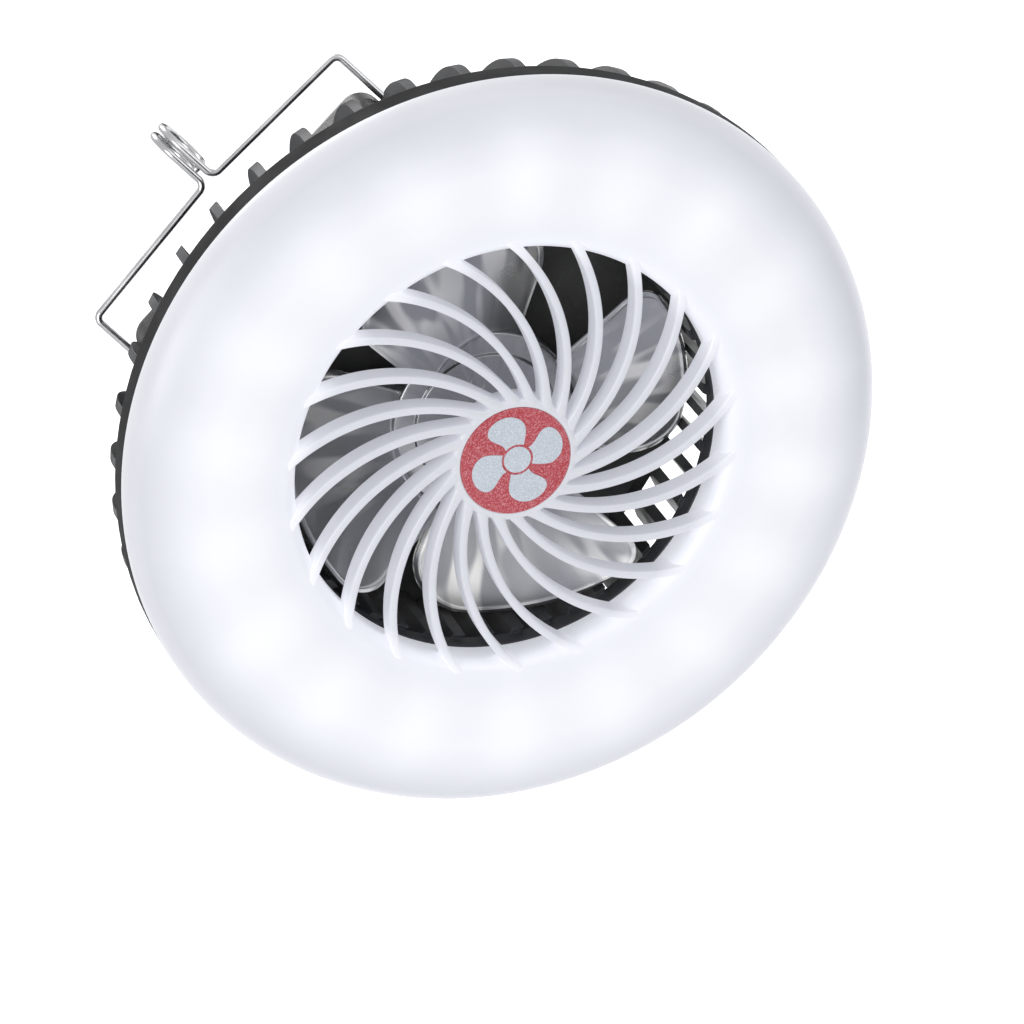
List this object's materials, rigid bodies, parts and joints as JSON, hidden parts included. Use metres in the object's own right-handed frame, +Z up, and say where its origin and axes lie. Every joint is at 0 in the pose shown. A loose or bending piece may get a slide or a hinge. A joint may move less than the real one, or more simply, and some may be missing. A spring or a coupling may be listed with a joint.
{
  "type": "portable fan with ring light",
  "caption": "Round battery fan with a glowing ring light around its grille, a finned rear housing and a wire bail for hanging.",
  "frame": {"origin": "centre of the hook eye at the top of the wire bail", "axes": "+Z up towards the eye, -Y the side that the air and the light leave from, +X along the eye's axis, to the right seen from that side"},
  "size_m": [0.21, 0.0687, 0.2188],
  "materials": {
    "diffuser": "milky white gloss, lit from behind",
    "badge_red": "red with white glitter",
    "badge_white": "pale grey with fine sparkle",
    "reflector_white": "matt white film",
    "board_white": "white solder mask",
    "led_yellow": "phosphor under clear resin",
    "housing_charcoal": "moulded, satin",
    "box_black": "moulded, glossy",
    "button_black": "satin",
    "impeller_silver": "silver, satin",
    "steel_wire": "bright drawn wire",
    "steel": "plated",
    "screw_steel": "black-nickel plated",
    "bronze": "sintered",
    "copper": "enamelled winding",
    "ferrite": "matt dark grey",
    "acetal_black": "smooth",
    "motor_cap_plastic": "moulded",
    "cell_sleeve": "shrink sleeve over the can",
    "cradle_grey": "moulded",
    "contact_nickel": "nickel strip",
    "board_green": "green solder mask",
    "lamp_clear": "clear light pipe"
  },
  "bodies": {
    "bail": {"wire_bail": "steel_wire"},
    "housing": {"front_cover": "diffuser", "hub_badge": "badge_red", "badge_symbol": "badge_white", "light_reflector": "reflector_white", "led_board": "board_white", "led_chips": "led_yellow", "rear_housing": "housing_charcoal", "box_cover": "box_black", "cover_screws": "screw_steel", "board_screws": "steel", "motor_screws": "screw_steel", "pivot_bushes": "acetal_black", "battery_cell": "cell_sleeve", "battery_cradle": "cradle_grey", "battery_contacts": "contact_nickel", "control_board": "board_green", "usb_socket": "steel", "fan_switch": "acetal_black", "light_switch": "acetal_black", "charge_lamp": "lamp_clear", "motor_can": "steel", "motor_end_cap": "motor_cap_plastic", "motor_bushes": "bronze", "motor_magnets": "ferrite"},
    "rotor": {"impeller": "impeller_silver", "impeller_cap": "impeller_silver", "motor_shaft": "steel", "armature": "steel", "armature_coils": "copper", "commutator": "bronze"},
    "fan_push": {"fan_button": "button_black"},
    "light_push": {"light_button": "button_black"}
  },
  "joints": [
    {"name": "bail_tilt", "type": "hinge", "parent": "bail", "child": "housing", "pos_m": [0, -0.02106, -0.0338], "axis": [1, 0, 0], "range_deg": [-20, 120]},
    {"name": "rotor_spin", "type": "hinge", "parent": "housing", "child": "rotor", "pos_m": [0, -0.03366, -0.1058], "axis": [0, -1, 0], "continuous": true},
    {"name": "fan_button_press", "type": "slide", "parent": "housing", "child": "fan_push", "axis": [0, -1, 0], "range_m": [0, 0.0005], "stiffness_N_per_m": 400, "springref_m": -0.0005},
    {"name": "light_button_press", "type": "slide", "parent": "housing", "child": "light_push", "axis": [0, -1, 0], "range_m": [0, 0.0005], "stiffness_N_per_m": 400, "springref_m": -0.0005}
  ]
}
